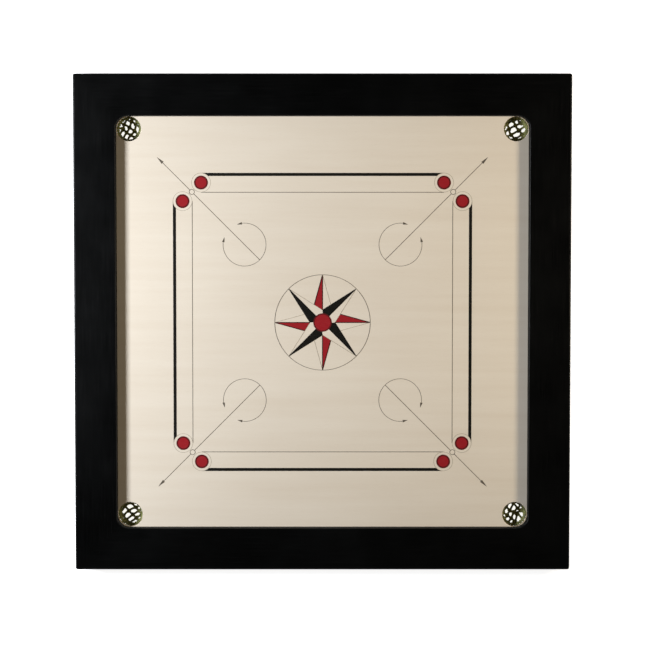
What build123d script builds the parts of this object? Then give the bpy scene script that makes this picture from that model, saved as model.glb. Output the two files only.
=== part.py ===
"""Carrom board: a lacquered hardwood frame round a plywood playing surface with four net pockets.

Millimetres, +Z up. The origin is the centre of the plane that the frame stands on, X runs to
the right of the player on the south side, and Y runs away from that player.

The board comes apart into four mitred rails joined by hidden splines, four corner blocks that
round the frame over the pockets, the plywood sheet in the rails' rebate, the ledgers and the
halved cross battens that hold the sheet up from below, their screws, and at each pocket a wire
ring, its staples and a net.
"""

import math
import os

from build123d import *

# Frame
PLAYING_SIDE = 740.0  # clear square inside the frame
RAIL_WIDTH = 75.0
FRAME_HEIGHT = 50.0
RIM_HEIGHT = 20.0  # the frame's top above the playing face
OUTER_CORNER_RADIUS = 4.0  # the frame's four upright corners
OUTER_EDGE_RADIUS = 3.0  # round the frame's outer top edge
INNER_EDGE_RADIUS = 2.0  # round the edge above the playing face
FOOT_EDGE_RADIUS = 1.5  # round the edge that the frame stands on
REBATE_WIDTH = 12.0  # how far the plywood's rebate is cut into each rail
SPLINE_SETBACK = 20.0  # from each end of a mitre to the spline hidden in it
SPLINE_WIDTH = 30.0  # across the mitre, half in each rail
SPLINE_THICKNESS = 5.0
BLOCK_TIP = 4.0  # from where a corner's curve starts to where its block starts

# Playing surface and pockets
PLY_THICKNESS = 8.0
PLY_CLEARANCE = 0.5  # between the sheet's edge and the rebate's wall
POCKET_DIAMETER = 44.5
POCKET_EDGE_RADIUS = 0.6  # round the pocket's upper edge

# Ledgers and battens under the sheet
LEDGER_SETBACK = 0.5  # a ledger's face behind the rail's inner face
LEDGER_RECESS = 2.0  # a ledger's underside above the standing plane
LEDGER_GAP = 1.0  # between a ledger and the batten's side
LEDGER_NET_GAP = 7.0  # between a ledger's end and the pocket net
BATTEN_WIDTH = 45.0
BATTEN_RECESS = 4.0  # a batten's underside above the standing plane
BATTEN_END_GAP = 0.5
EASED_EDGE = 1.5  # chamfer on the lower edges of ledgers and battens

# Countersunk wood screws
SCREW_RADIUS = 1.75
SCREW_HEAD_RADIUS = 3.5
SCREW_HEAD_RIM = 0.3
SCREW_POINT = 3.0
SCREW_CLEARANCE = 0.25  # radial, where a shank passes through a piece
RECESS_LENGTH = 4.0  # the cross in the head
RECESS_WIDTH = 0.9
RECESS_DEPTH = 1.2
BATTEN_SCREW_BITE = 6.0  # into the plywood
END_SCREW_BITE = 12.0  # into the rail, past the plywood
LEDGER_SCREW_BITE = 14.0  # into the rail
BATTEN_SCREWS_PER_ARM = 3
LEDGER_SCREWS_EACH = 3
SCREW_MARGIN = 40.0  # from a batten arm's end or a ledger's end to its nearest screw

# Pocket nets
RING_SETBACK = 4.25  # the ring's centre line outside the pocket's edge
RING_WIRE_RADIUS = 1.0
CORD_ROOM = 2.0  # between the ring and the sheet, for the net's cord where it is hitched round the ring
STAPLE_WIRE_RADIUS = 0.5
STAPLE_SPAN = 4.0  # between the leg centres, across the ring
STAPLE_BEND = 0.9
STAPLE_BITE = 5.0  # leg length inside the plywood
STAPLES_PER_POCKET = 6
STAPLE_FIRST_ANGLE = 15.0
NET_WALL = 2.0
NET_FLOOR_GAP = 1.0  # the net's lowest point above the standing plane

# Levels and half sizes that follow from those
PLAYING_HALF = PLAYING_SIDE / 2
OUTER_HALF = PLAYING_HALF + RAIL_WIDTH
REBATE_HALF = PLAYING_HALF + REBATE_WIDTH
PLY_TOP = FRAME_HEIGHT - RIM_HEIGHT
PLY_BOTTOM = PLY_TOP - PLY_THICKNESS
POCKET_RADIUS = POCKET_DIAMETER / 2
POCKET_OFFSET = PLAYING_HALF - POCKET_RADIUS
RING_RADIUS = POCKET_RADIUS + RING_SETBACK
RING_HEIGHT = PLY_BOTTOM - CORD_ROOM - RING_WIRE_RADIUS
STAPLE_CROWN = RING_HEIGHT - RING_WIRE_RADIUS - STAPLE_WIRE_RADIUS
NET_TOP = STAPLE_CROWN - STAPLE_WIRE_RADIUS
NET_MOUTH_RADIUS = RING_RADIUS + NET_WALL / 2
BATTEN_THICKNESS = PLY_BOTTOM - BATTEN_RECESS
LEDGER_START = BATTEN_WIDTH / 2 + LEDGER_GAP
LEDGER_END = POCKET_OFFSET - NET_MOUTH_RADIUS - LEDGER_NET_GAP

SIDES = ("south", "east", "north", "west")  # each a quarter turn on from the last
CORNERS = ("se", "ne", "nw", "sw")
QUARTER_TURN = 90.0
UPWARDS = (0.0, 0.0, 0.0)
OUTWARDS = (90.0, 0.0, 0.0)  # turns a screw that points up into one that points to -Y


def spaced(first, last, count):
    """count places from first to last, evenly apart."""
    return [first + (last - first) * i / (count - 1) for i in range(count)]


def turned(shape, quarter_turns):
    """The shape carried round the board's centre, from the south side or south-east corner."""
    return Rot(0, 0, QUARTER_TURN * quarter_turns) * shape


def block(low, high):
    """A box from its lowest to its highest corner."""
    size = [b - a for a, b in zip(low, high)]
    return Pos(*low) * Box(*size, align=(Align.MIN, Align.MIN, Align.MIN))


# Screws


def screw_blank(length):
    """A countersunk screw without its cross: head face at z 0, point up at z length."""
    cone_end = SCREW_HEAD_RIM + SCREW_HEAD_RADIUS - SCREW_RADIUS
    outline = Polyline(
        (0, 0, 0),
        (SCREW_HEAD_RADIUS, 0, 0),
        (SCREW_HEAD_RADIUS, 0, SCREW_HEAD_RIM),
        (SCREW_RADIUS, 0, cone_end),
        (SCREW_RADIUS, 0, length - SCREW_POINT),
        (0, 0, length),
        close=True,
    )
    return revolve(make_face(outline), Axis.Z)


def screw(length):
    """The screw with its cross recess."""
    slot = Box(RECESS_LENGTH, RECESS_WIDTH, 2 * RECESS_DEPTH)
    return screw_blank(length) - slot - Rot(0, 0, QUARTER_TURN) * slot


def screw_passage(length, passed):
    """What a screw takes from wood: its own shape, eased where the shank only passes through."""
    eased = Cylinder(SCREW_RADIUS + SCREW_CLEARANCE, passed, align=(Align.CENTER, Align.CENTER, Align.MIN))
    return screw_blank(length) + eased


# Where each kind of screw goes: its place, how it is turned, its length and how much of that
# only passes through a piece.

BATTEN_SCREW_LENGTH = BATTEN_THICKNESS + BATTEN_SCREW_BITE
END_SCREW_PASSED = BATTEN_THICKNESS + PLY_THICKNESS
END_SCREW_LENGTH = END_SCREW_PASSED + END_SCREW_BITE
LEDGER_WIDTH = REBATE_WIDTH - LEDGER_SETBACK
LEDGER_SCREW_LENGTH = LEDGER_WIDTH + LEDGER_SCREW_BITE
END_SCREW_PLACE = PLAYING_HALF + REBATE_WIDTH / 2


def batten_screw_places():
    """Along the four arms of the cross and at its centre."""
    arm = spaced(BATTEN_WIDTH / 2 + SCREW_MARGIN, PLAYING_HALF - SCREW_MARGIN, BATTEN_SCREWS_PER_ARM)
    around = [turned(Location((0, -y, BATTEN_RECESS)), k) for k in range(4) for y in arm]
    return [Location((0, 0, BATTEN_RECESS))] + around


def end_screw_places():
    """Through each batten end and the sheet, up into the rail's rebate."""
    return [turned(Location((0, -END_SCREW_PLACE, BATTEN_RECESS)), k) for k in range(4)]


def ledger_screw_places(quarter_turns):
    """Through both ledgers of one side, level, into its rail."""
    height = (LEDGER_RECESS + PLY_BOTTOM) / 2
    face = -(PLAYING_HALF + LEDGER_SETBACK)
    along = spaced(LEDGER_START + SCREW_MARGIN, LEDGER_END - SCREW_MARGIN, LEDGER_SCREWS_EACH)
    xs = [-x for x in reversed(along)] + along
    return [turned(Location((x, face, height), OUTWARDS), quarter_turns) for x in xs]


def at(places, shape):
    """A copy of the shape at each place, as a list."""
    return [place * shape for place in places]


# Frame


def frame_ring():
    """The whole frame in one piece, rounded and rebated, before it is cut into its pieces."""
    outside = RectangleRounded(2 * OUTER_HALF, 2 * OUTER_HALF, OUTER_CORNER_RADIUS)
    inside = RectangleRounded(PLAYING_SIDE, PLAYING_SIDE, POCKET_RADIUS)
    ring = extrude(outside - inside, FRAME_HEIGHT)
    ring = fillet(ring.faces().sort_by(Axis.Z)[-1].outer_wire().edges(), OUTER_EDGE_RADIUS)
    ring = fillet(ring.faces().sort_by(Axis.Z)[-1].inner_wires()[0].edges(), INNER_EDGE_RADIUS)
    ring = fillet(ring.faces().sort_by(Axis.Z)[0].outer_wire().edges(), FOOT_EDGE_RADIUS)
    return ring - block((-REBATE_HALF, -REBATE_HALF, 0), (REBATE_HALF, REBATE_HALF, PLY_TOP))


def corner_block_zone():
    """The space of the south-east corner block, which ends before the curve thins to nothing."""
    start = POCKET_OFFSET + BLOCK_TIP
    return block((start, -PLAYING_HALF, PLY_TOP), (PLAYING_HALF, -start, FRAME_HEIGHT))


def corner_spline():
    """The tongue hidden in the south-east mitre."""
    mitre = RAIL_WIDTH * math.sqrt(2)
    middle = (PLAYING_HALF + OUTER_HALF) / 2
    height = PLY_TOP + RIM_HEIGHT / 2
    tongue = Box(mitre - 2 * SPLINE_SETBACK, SPLINE_WIDTH, SPLINE_THICKNESS)
    return Pos(middle, -middle, height) * Rot(0, 0, -QUARTER_TURN / 2) * tongue


def south_rail(ring):
    """The ring's south quarter, mitred, less the corner blocks, spline slots and screw holes."""
    reach = 2 * OUTER_HALF
    quarter = extrude(Polygon((0, 0), (-reach, -reach), (reach, -reach), align=None), FRAME_HEIGHT)
    rail = ring & quarter
    for corner in (0, -1):
        rail = rail - turned(corner_block_zone(), corner) - turned(corner_spline(), corner)
    ledger_holes = at(ledger_screw_places(0), screw_blank(LEDGER_SCREW_LENGTH))
    return rail - ledger_holes - end_screw_places()[0] * screw_blank(END_SCREW_LENGTH)


# Playing surface


def playing_surface():
    """The plywood sheet with its four pockets, and holes for the screws and staples."""
    half = REBATE_HALF - PLY_CLEARANCE
    sheet = block((-half, -half, PLY_BOTTOM), (half, half, PLY_TOP))
    pocket = Pos(POCKET_OFFSET, -POCKET_OFFSET, (PLY_BOTTOM + PLY_TOP) / 2) * Cylinder(POCKET_RADIUS, PLY_THICKNESS)
    sheet = sheet - [turned(pocket, k) for k in range(4)]
    rims = sheet.edges().filter_by(GeomType.CIRCLE).group_by(Axis.Z)[-1]
    sheet = fillet(rims, POCKET_EDGE_RADIUS)
    sheet = sheet - at(batten_screw_places(), screw_blank(BATTEN_SCREW_LENGTH))
    sheet = sheet - at(end_screw_places(), screw_passage(END_SCREW_LENGTH, END_SCREW_PASSED))
    leg = Pos(0, 0, PLY_BOTTOM) * Cylinder(
        STAPLE_WIRE_RADIUS, STAPLE_BITE, align=(Align.CENTER, Align.CENTER, Align.MIN)
    )
    legs = [Pos(side * STAPLE_SPAN / 2, 0, 0) * leg for side in (-1, 1)]
    holes = [place * one for place in staple_places() for one in legs]
    return sheet - [turned(hole, k) for k in range(4) for hole in holes]


# Ledgers and battens


def eased_bar(low, high, along):
    """A bar with its two lower long edges eased."""
    bar = block(low, high)
    lower = bar.edges().filter_by(along).group_by(Axis.Z)[0]
    return chamfer(lower, EASED_EDGE)


def south_ledger(side):
    """The strip under the sheet in the south rebate, on one side of the batten."""
    inner, outer = sorted((side * LEDGER_START, side * LEDGER_END))
    low = (inner, -REBATE_HALF, LEDGER_RECESS)
    high = (outer, -(PLAYING_HALF + LEDGER_SETBACK), PLY_BOTTOM)
    passage = screw_passage(LEDGER_SCREW_LENGTH, LEDGER_WIDTH)
    return eased_bar(low, high, Axis.X) - at(ledger_screw_places(0), passage)


def batten(quarter_turns, halved_below):
    """A bar across the board under the sheet, halved over its fellow at the centre."""
    half_length = REBATE_HALF - BATTEN_END_GAP
    half_width = BATTEN_WIDTH / 2
    bar = eased_bar(
        (-half_width, -half_length, BATTEN_RECESS),
        (half_width, half_length, PLY_BOTTOM),
        Axis.Y,
    )
    middle = BATTEN_RECESS + BATTEN_THICKNESS / 2
    bottom, top = (BATTEN_RECESS, middle) if halved_below else (middle, PLY_BOTTOM)
    halving = block((-half_width, -half_width, bottom), (half_width, half_width, top))
    bar = turned(bar - halving, quarter_turns)
    bar = bar - at(batten_screw_places(), screw_passage(BATTEN_SCREW_LENGTH, BATTEN_THICKNESS))
    return bar - at(end_screw_places(), screw_passage(END_SCREW_LENGTH, END_SCREW_PASSED))


# Pocket nets, built at the south-east pocket


def at_pocket(shape):
    return Pos(POCKET_OFFSET, -POCKET_OFFSET, 0) * shape


def net_ring():
    """The wire hoop that the net is hitched to, held under the sheet by its staples."""
    return at_pocket(Pos(0, 0, RING_HEIGHT) * Torus(RING_RADIUS, RING_WIRE_RADIUS))


def staple_places():
    """On the ring, each turned so that a staple's local X points away from the pocket."""
    step = 360.0 / STAPLES_PER_POCKET
    turns = [STAPLE_FIRST_ANGLE + step * i for i in range(STAPLES_PER_POCKET)]
    return [at_pocket(Rot(0, 0, turn) * Pos(RING_RADIUS, 0, 0)) for turn in turns]


def staple():
    """A U of wire whose crown passes under the ring and whose legs go up into the sheet."""
    tip = PLY_BOTTOM + STAPLE_BITE
    half = STAPLE_SPAN / 2
    path = FilletPolyline(
        (-half, 0, tip),
        (-half, 0, STAPLE_CROWN),
        (half, 0, STAPLE_CROWN),
        (half, 0, tip),
        radius=STAPLE_BEND,
    )
    return sweep(Plane(path @ 0, z_dir=path % 0) * Circle(STAPLE_WIRE_RADIUS), path=path)


def pocket_net():
    """The slack net as a closed bowl wall between two concentric spheres, open at its mouth."""
    depth = NET_TOP - NET_FLOOR_GAP
    outer = (NET_MOUTH_RADIUS**2 + depth**2) / (2 * depth)  # through the mouth's edge and the lowest point
    centre = NET_FLOOR_GAP + outer
    bowl = Sphere(outer) - Sphere(outer - NET_WALL)
    above_mouth = Pos(0, 0, NET_TOP - centre) * Cylinder(
        2 * outer, 2 * outer, align=(Align.CENTER, Align.CENTER, Align.MIN)
    )
    return at_pocket(Pos(0, 0, centre) * (bowl - above_mouth))


def every_piece():
    """Each node's name with its solid, or with a list of equal solids."""
    pieces = {"playing_surface": playing_surface()}
    rail = south_rail(frame_ring())
    ledgers = {"right": south_ledger(1), "left": south_ledger(-1)}
    for k, side in enumerate(SIDES):
        pieces[f"rail_{side}"] = turned(rail, k)
        for hand, ledger in ledgers.items():
            pieces[f"ledger_{side}_{hand}"] = turned(ledger, k)

    corner_block = frame_ring() & corner_block_zone()
    staples = [place * staple() for place in staple_places()]
    for k, corner in enumerate(CORNERS):
        pieces[f"corner_block_{corner}"] = turned(corner_block, k)
        pieces[f"mitre_spline_{corner}"] = turned(corner_spline(), k)
        pieces[f"net_ring_{corner}"] = turned(net_ring(), k)
        pieces[f"net_staples_{corner}"] = [turned(one, k) for one in staples]
        pieces[f"pocket_net_{corner}"] = turned(pocket_net(), k)

    pieces["batten_north_south"] = batten(0, halved_below=False)
    pieces["batten_east_west"] = batten(1, halved_below=True)
    pieces["batten_screws"] = at(batten_screw_places(), screw(BATTEN_SCREW_LENGTH))
    pieces["batten_end_screws"] = at(end_screw_places(), screw(END_SCREW_LENGTH))
    ledger_places = [place for k in range(4) for place in ledger_screw_places(k)]
    pieces["ledger_screws"] = at(ledger_places, screw(LEDGER_SCREW_LENGTH))
    return pieces


def main():
    os.makedirs("parts", exist_ok=True)
    for name, shape in every_piece().items():
        solids = shape if isinstance(shape, list) else [shape]
        whole = Compound(children=[s for one in solids for s in one.solids()])
        export_step(whole, f"parts/{name}.step")


main()
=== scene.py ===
# %% [markdown]
# # A carrom board
# This lesson dresses a carrom board. The wooden frame, the sheet, the battens, the screws and the
# wire rings arrive ready made, at their real size, with every piece in its place. What is made
# here is what a workshop adds last: the printing on the sheet, the four knotted nets, and the
# finish on every piece. The board's lengths are written in millimetres and turned into metres
# with MM. The studio's, such as the camera's distance, are in metres.

# %% Load the packed board
import math

import bmesh
import bpy
import numpy as np
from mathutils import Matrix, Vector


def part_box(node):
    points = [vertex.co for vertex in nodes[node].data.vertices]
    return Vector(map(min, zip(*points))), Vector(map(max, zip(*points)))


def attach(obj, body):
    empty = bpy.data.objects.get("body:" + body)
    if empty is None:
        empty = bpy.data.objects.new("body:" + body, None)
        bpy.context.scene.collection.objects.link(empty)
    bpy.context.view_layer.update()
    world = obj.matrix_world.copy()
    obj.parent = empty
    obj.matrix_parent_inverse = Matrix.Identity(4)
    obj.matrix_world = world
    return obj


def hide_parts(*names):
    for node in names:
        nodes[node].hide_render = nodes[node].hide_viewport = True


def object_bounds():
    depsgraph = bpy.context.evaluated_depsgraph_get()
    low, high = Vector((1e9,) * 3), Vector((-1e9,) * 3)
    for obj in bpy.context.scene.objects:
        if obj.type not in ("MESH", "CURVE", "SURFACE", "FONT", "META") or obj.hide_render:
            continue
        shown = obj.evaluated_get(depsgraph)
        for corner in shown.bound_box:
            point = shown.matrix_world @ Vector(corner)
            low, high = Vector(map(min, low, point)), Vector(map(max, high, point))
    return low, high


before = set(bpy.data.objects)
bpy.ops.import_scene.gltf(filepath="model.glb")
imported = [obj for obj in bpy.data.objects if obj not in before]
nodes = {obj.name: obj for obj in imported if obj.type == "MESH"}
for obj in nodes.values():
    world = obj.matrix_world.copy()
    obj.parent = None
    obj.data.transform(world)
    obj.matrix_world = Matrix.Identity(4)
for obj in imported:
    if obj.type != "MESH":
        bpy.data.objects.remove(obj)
cad_low, cad_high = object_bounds()
MM = 0.001
TURN = 2 * math.pi
print(len(nodes), "nodes in", [round(1000 * v) for v in cad_high - cad_low], "mm")

# %% [markdown]
# ## Where things are
# The printing has to lie on the sheet, and the nets have to hang from their rings, so every place
# starts from a measure of the packed board and not from a number typed twice. The corner blocks
# reach exactly to the frame's inner faces, which gives the playing square.

# %% Measure the board
ply_low, ply_high = (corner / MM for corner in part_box("playing_surface"))
PLAYING_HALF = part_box("corner_block_se")[1].x / MM
FRAME_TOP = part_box("rail_south")[1].z / MM
PLY_TOP = ply_high.z
PLY_BOTTOM = ply_low.z
CORNERS = ("se", "ne", "nw", "sw")
print("playing square", round(2 * PLAYING_HALF), "mm, rim", round(FRAME_TOP - PLY_TOP), "mm high")

# %% [markdown]
# ## The camera
# The board is looked at from straight above, from a few metres off, through a long lens that keeps
# its sides square. A lean of under three degrees brings the far rail a touch nearer, so the board
# widens very slightly towards the top, as it does when a copy stand isn't quite level.

# %% Place the camera
BOARD_SHARE_OF_WIDTH = 0.77054
CAMERA_DISTANCE = 3.2
CAMERA_LEAN = math.radians(2.6)
board_width = cad_high.x - cad_low.x

camera = bpy.data.objects.new("camera", bpy.data.cameras.new("camera"))
bpy.context.scene.collection.objects.link(camera)
camera.location = (
    0,
    CAMERA_DISTANCE * math.sin(CAMERA_LEAN),
    PLY_TOP * MM + CAMERA_DISTANCE * math.cos(CAMERA_LEAN),
)
camera.rotation_euler = (-CAMERA_LEAN, 0, 0)
seen_width = board_width / BOARD_SHARE_OF_WIDTH
frame_distance = CAMERA_DISTANCE - (FRAME_TOP - PLY_TOP) * MM
camera.data.lens = camera.data.sensor_width * frame_distance / seen_width
bpy.context.scene.camera = camera
print("lens", round(camera.data.lens, 1), "mm")

# %% [markdown]
# ## Light
# Two soft boxes stand low on the left and the right, about as high above the sheet as they are
# beside it, so that each rail throws a soft shadow as wide as the rim is high. The left one is
# the stronger and the cooler. Area lights are used because their size sets how soft a shadow's
# edge is. A little grey from the world keeps the shadows from going black.

# %% Hang the lights
LIGHT_FORWARD = 0.16


def soft_box(name, side, reach, height, watts, colour, size):
    """An area light beside the board, turned to the foot of the rail nearest to it."""
    light = bpy.data.lights.new(name, "AREA")
    light.shape = "RECTANGLE"
    light.size, light.size_y = size
    light.energy = watts
    light.color = colour
    holder = bpy.data.objects.new(name, light)
    bpy.context.scene.collection.objects.link(holder)
    holder.location = (side * (PLAYING_HALF * MM + reach), LIGHT_FORWARD, PLY_TOP * MM + height)
    holder.rotation_euler = (0, side * math.atan2(reach, height), 0)


soft_box("left_soft_box", -1, 1.00, 1.02, 34.8, (0.95, 0.98, 1.05), (0.38, 0.60))
soft_box("right_soft_box", 1, 0.80, 0.78, 8.4, (1.0, 0.85, 0.64), (0.30, 0.60))

world = bpy.data.worlds.new("studio")
world.use_nodes = True
world.node_tree.nodes["Background"].inputs["Color"].default_value = (1.0, 0.82, 0.62, 1)
world.node_tree.nodes["Background"].inputs["Strength"].default_value = 0.045
bpy.context.scene.world = world
bpy.context.scene.view_settings.view_transform = "Standard"
print([round(light.energy, 1) for light in bpy.data.lights], "watts")

# %% [markdown]
# ## From a formula to a mesh
# A surface is a function of two parameters. Worked out on a grid of parameters, it gives rows
# and columns of points, and each little square of the grid becomes a face. These two helpers do
# that for every new piece, so a piece's own cell only has to hold its formula.

# %% Grids and pieces
def grid_faces(rows, columns, first=0, wrap=False):
    """The corner numbers of every face of a grid; wrap joins the last column to the first."""
    across = columns if wrap else columns - 1
    r, c = np.meshgrid(np.arange(rows - 1), np.arange(across), indexing="ij")
    right = (c + 1) % columns
    this_row, next_row = r * columns, (r + 1) * columns
    quads = np.stack([this_row + c, this_row + right, next_row + right, next_row + c], axis=-1)
    return first + quads.reshape(-1, 4)


def new_piece(name, points, faces, material, uv=None):
    """A mesh from points in millimetres and four-cornered faces, which rides on the board.

    uv, if given, holds two coordinates for each point, for materials that follow the surface.
    """
    mesh = bpy.data.meshes.new(name)
    mesh.vertices.add(len(points))
    mesh.vertices.foreach_set("co", (np.asarray(points) * MM).astype(np.float32).ravel())
    mesh.loops.add(faces.size)
    mesh.loops.foreach_set("vertex_index", faces.astype(np.int32).ravel())
    mesh.polygons.add(len(faces))
    mesh.polygons.foreach_set("loop_start", np.arange(0, faces.size, 4, dtype=np.int32))
    mesh.update(calc_edges=True)
    if uv is not None:
        mesh.uv_layers.new(name="run").uv.foreach_set("vector", uv[faces].astype(np.float32).ravel())
    mesh.validate()
    mesh.shade_flat()
    mesh.materials.append(material)
    piece = bpy.data.objects.new(name, mesh)
    bpy.context.scene.collection.objects.link(piece)
    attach(piece, "root")
    return piece


print("3 by 3 points make", len(grid_faces(3, 3)), "faces, or wrapped", len(grid_faces(3, 3, wrap=True)))

# %% [markdown]
# ## Writing a finish
# Every finish here is a small tree of nodes. The helper below keeps each recipe short: one call
# adds a node, sets its values and wires its inputs. Patterns read Object coordinates, which are
# the board's own metres, so a grain of a given size stays that size on every piece.

# %% A recipe for a material
class Finish:
    """A material and its node tree. Each call to add makes one node and returns it."""

    def __init__(self, name):
        """An empty recipe of that name, with its shader and its place coordinates."""
        self.material = bpy.data.materials.new(name)
        self.material.use_nodes = True
        self.tree = self.material.node_tree
        self.shader = self.tree.nodes["Principled BSDF"]
        self.place = self.add("ShaderNodeTexCoord").outputs["Object"]

    def add(self, kind, settings=None, **inputs):
        made = self.tree.nodes.new(kind)
        for key, value in (settings or {}).items():
            setattr(made, key, value)
        for key, value in inputs.items():
            self.feed(made.inputs[key.replace("_", " ")], value)
        return made

    def feed(self, socket, value):
        """Wires a node's output into the socket, or sets the socket's own value."""
        if isinstance(value, bpy.types.NodeSocket):
            self.tree.links.new(value, socket)
        else:
            socket.default_value = value

    def stretched(self, x, y, z):
        """The place coordinates, scaled by a different amount along each axis."""
        return self.add("ShaderNodeMapping", Vector=self.place, Scale=(x, y, z)).outputs["Vector"]

    def noise(self, vector, scale, detail=3.0, roughness=0.5):
        """A cloudy value about 0.5, finer as the scale and the detail go up."""
        amounts = {"Scale": scale, "Detail": detail, "Roughness": roughness}
        return self.add("ShaderNodeTexNoise", Vector=vector, **amounts).outputs["Fac"]

    def between(self, value, low, high, to_low=0.0, to_high=1.0):
        """The value carried from the range low..high to to_low..to_high, and held inside it."""
        made = self.add("ShaderNodeMapRange", From_Min=low, From_Max=high, To_Min=to_low, To_Max=to_high)
        self.feed(made.inputs["Value"], value)
        return made.outputs["Result"]

    def calc(self, operation, a, b):
        """a and b put through one step of arithmetic."""
        made = self.add("ShaderNodeMath", {"operation": operation})
        self.feed(made.inputs[0], a)
        self.feed(made.inputs[1], b)
        return made.outputs["Value"]

    def mixed(self, factor, a, b):
        """Colour a turning into colour b as the factor goes from 0 to 1."""
        made = self.add("ShaderNodeMix", {"data_type": "RGBA"})
        self.feed(made.inputs["Factor"], factor)
        self.feed(made.inputs[6], a)
        self.feed(made.inputs[7], b)
        return made.outputs[2]

    def relief(self, height, depth_mm, strength=1.0):
        """A bump of that depth, fed to the shader."""
        bump = self.add("ShaderNodeBump", Height=height, Distance=depth_mm * MM, Strength=strength)
        self.feed(self.shader.inputs["Normal"], bump.outputs["Normal"])

    def set(self, **inputs):
        """Values or wires for the shader's own sockets."""
        for key, value in inputs.items():
            self.feed(self.shader.inputs[key.replace("_", " ")], value)


print("a recipe's tools:", ", ".join(name for name in vars(Finish) if not name.startswith("_")))

# %% [markdown]
# ## The floor
# The board lies on a plain white sweep that turns up into a wall all round, so that it reads
# white from every side. The sweep is one profile carried round a circle. It glows a little, as
# an evenly lit sweep does, and it is clear from behind, so that the board can be looked at from
# below. The walls give the lacquer something pale to mirror, but they don't light the board.

# %% Lay the sweep
SWEEP_FLAT, SWEEP_TURN, SWEEP_WALL = 7.0, 1.5, 5.0
SWEEP_DROP = 0.0004
SWEEP_GLOW = 0.90


def swept_round(radius, height, around=96):
    """The profile (radius, height) carried round the upright axis: r cos a, r sin a, h."""
    angle = np.linspace(0, TURN, around, endpoint=False)
    z = np.repeat(height[:, None] - SWEEP_DROP, around, axis=1)
    return np.stack([np.outer(radius, np.cos(angle)), np.outer(radius, np.sin(angle)), z], axis=-1)


def sweep_material():
    """White from above and inside, clear from behind."""
    paint = Finish("white_sweep")
    paint.set(Base_Color=(0.8, 0.8, 0.8, 1), Roughness=0.9)
    paint.set(Emission_Color=(1, 1, 1, 1), Emission_Strength=SWEEP_GLOW)
    clear = paint.add("ShaderNodeBsdfTransparent")
    mix = paint.add("ShaderNodeMixShader")
    paint.feed(mix.inputs[0], paint.add("ShaderNodeNewGeometry").outputs["Backfacing"])
    paint.feed(mix.inputs[1], paint.shader.outputs["BSDF"])
    paint.feed(mix.inputs[2], clear.outputs["BSDF"])
    paint.feed(paint.tree.nodes["Material Output"].inputs["Surface"], mix.outputs["Shader"])
    return paint.material


def stage_surface(name, points, material):
    """A surface of the studio, wound to face up and inwards."""
    mesh = bpy.data.meshes.new(name)
    faces = grid_faces(*points.shape[:2], wrap=True)[:, ::-1]
    mesh.from_pydata(points.reshape(-1, 3), [], faces.tolist())
    mesh.shade_smooth()
    mesh.materials.append(material)
    surface = bpy.data.objects.new(name, mesh)
    bpy.context.scene.collection.objects.link(surface)
    print(name, "faces up by", round(mesh.polygons[0].normal.z, 2))
    return surface


white = sweep_material()
turn = np.linspace(0, math.pi / 2, 9)
stage_surface("sweep_floor", swept_round(np.array([0.001, 1.2, SWEEP_FLAT]), np.zeros(3)), white)
wall_radius = np.append(SWEEP_FLAT + SWEEP_TURN * np.sin(turn), SWEEP_FLAT + SWEEP_TURN)
wall_height = np.append(SWEEP_TURN * (1 - np.cos(turn)), SWEEP_WALL)
wall = stage_surface("sweep_wall", swept_round(wall_radius, wall_height), white)
wall.visible_diffuse = False

# %% [markdown]
# ## The black lacquer
# The frame is hardwood sprayed black. Under a satin lacquer the grain still shows as very fine
# ridges along each rail, so the noise that makes them is stretched along the rail: along X for
# two rails and along Y for the other two. Cloudy differences in gloss and a few specks of dust
# keep it from looking like plastic. The walls round the playing square are duller than the rest,
# because they are hard to reach with a polishing pad and pieces rub along them in play.

# %% Lacquer
def inner_walls(coat):
    """1 on upright faces nearer to the middle than the rails' centre lines, and 0 elsewhere."""
    normal = coat.add("ShaderNodeNewGeometry").outputs["Normal"]
    steepness = coat.add("ShaderNodeSeparateXYZ", Vector=normal).outputs["Z"]
    upright = coat.between(coat.calc("ABSOLUTE", steepness, 0.0), 0.25, 0.75, 1.0, 0.0)
    place = coat.add("ShaderNodeSeparateXYZ", Vector=coat.place).outputs
    out = coat.calc("MAXIMUM", *(coat.calc("ABSOLUTE", place[axis], 0.0) for axis in "XY"))
    middle = (PLAYING_HALF * MM + cad_high.x) / 2
    near = coat.between(out, middle - 0.01, middle + 0.01, 1.0, 0.0)
    return coat.calc("MULTIPLY", upright, near)


def black_lacquer(name, along):
    """Black with a grain along one axis. along is (x, y, z) noise scales, small where it runs."""
    coat = Finish(name)
    grain = coat.noise(coat.stretched(*along), 1.0, detail=6.0, roughness=0.62)
    clouds = coat.noise(coat.place, 9.0, detail=3.0)
    specks = coat.between(coat.noise(coat.place, 900.0, detail=1.0), 0.74, 0.80)
    peel = coat.noise(coat.place, 420.0, detail=1.0)
    shade = coat.mixed(clouds, (0.0003, 0.0004, 0.0004, 1), (0.0014, 0.0017, 0.0018, 1))
    shade = coat.mixed(coat.between(grain, 0.58, 0.78, 0.0, 0.35), shade, (0.006, 0.006, 0.006, 1))
    shade = coat.mixed(coat.calc("MULTIPLY", specks, 0.4), shade, (0.030, 0.030, 0.030, 1))
    rough = coat.between(clouds, 0.3, 0.7, 0.28, 0.38)
    rough = coat.calc("ADD", rough, coat.between(grain, 0.3, 0.8, -0.05, 0.07))
    rough = coat.calc("MAXIMUM", rough, coat.calc("MULTIPLY", inner_walls(coat), 0.62))
    height = coat.calc("ADD", coat.calc("MULTIPLY", grain, 0.8), coat.calc("MULTIPLY", peel, 0.25))
    coat.relief(height, 0.10, 0.7)
    coat.set(Base_Color=shade, Roughness=rough, Specular_IOR_Level=0.12)
    return coat.material


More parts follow.
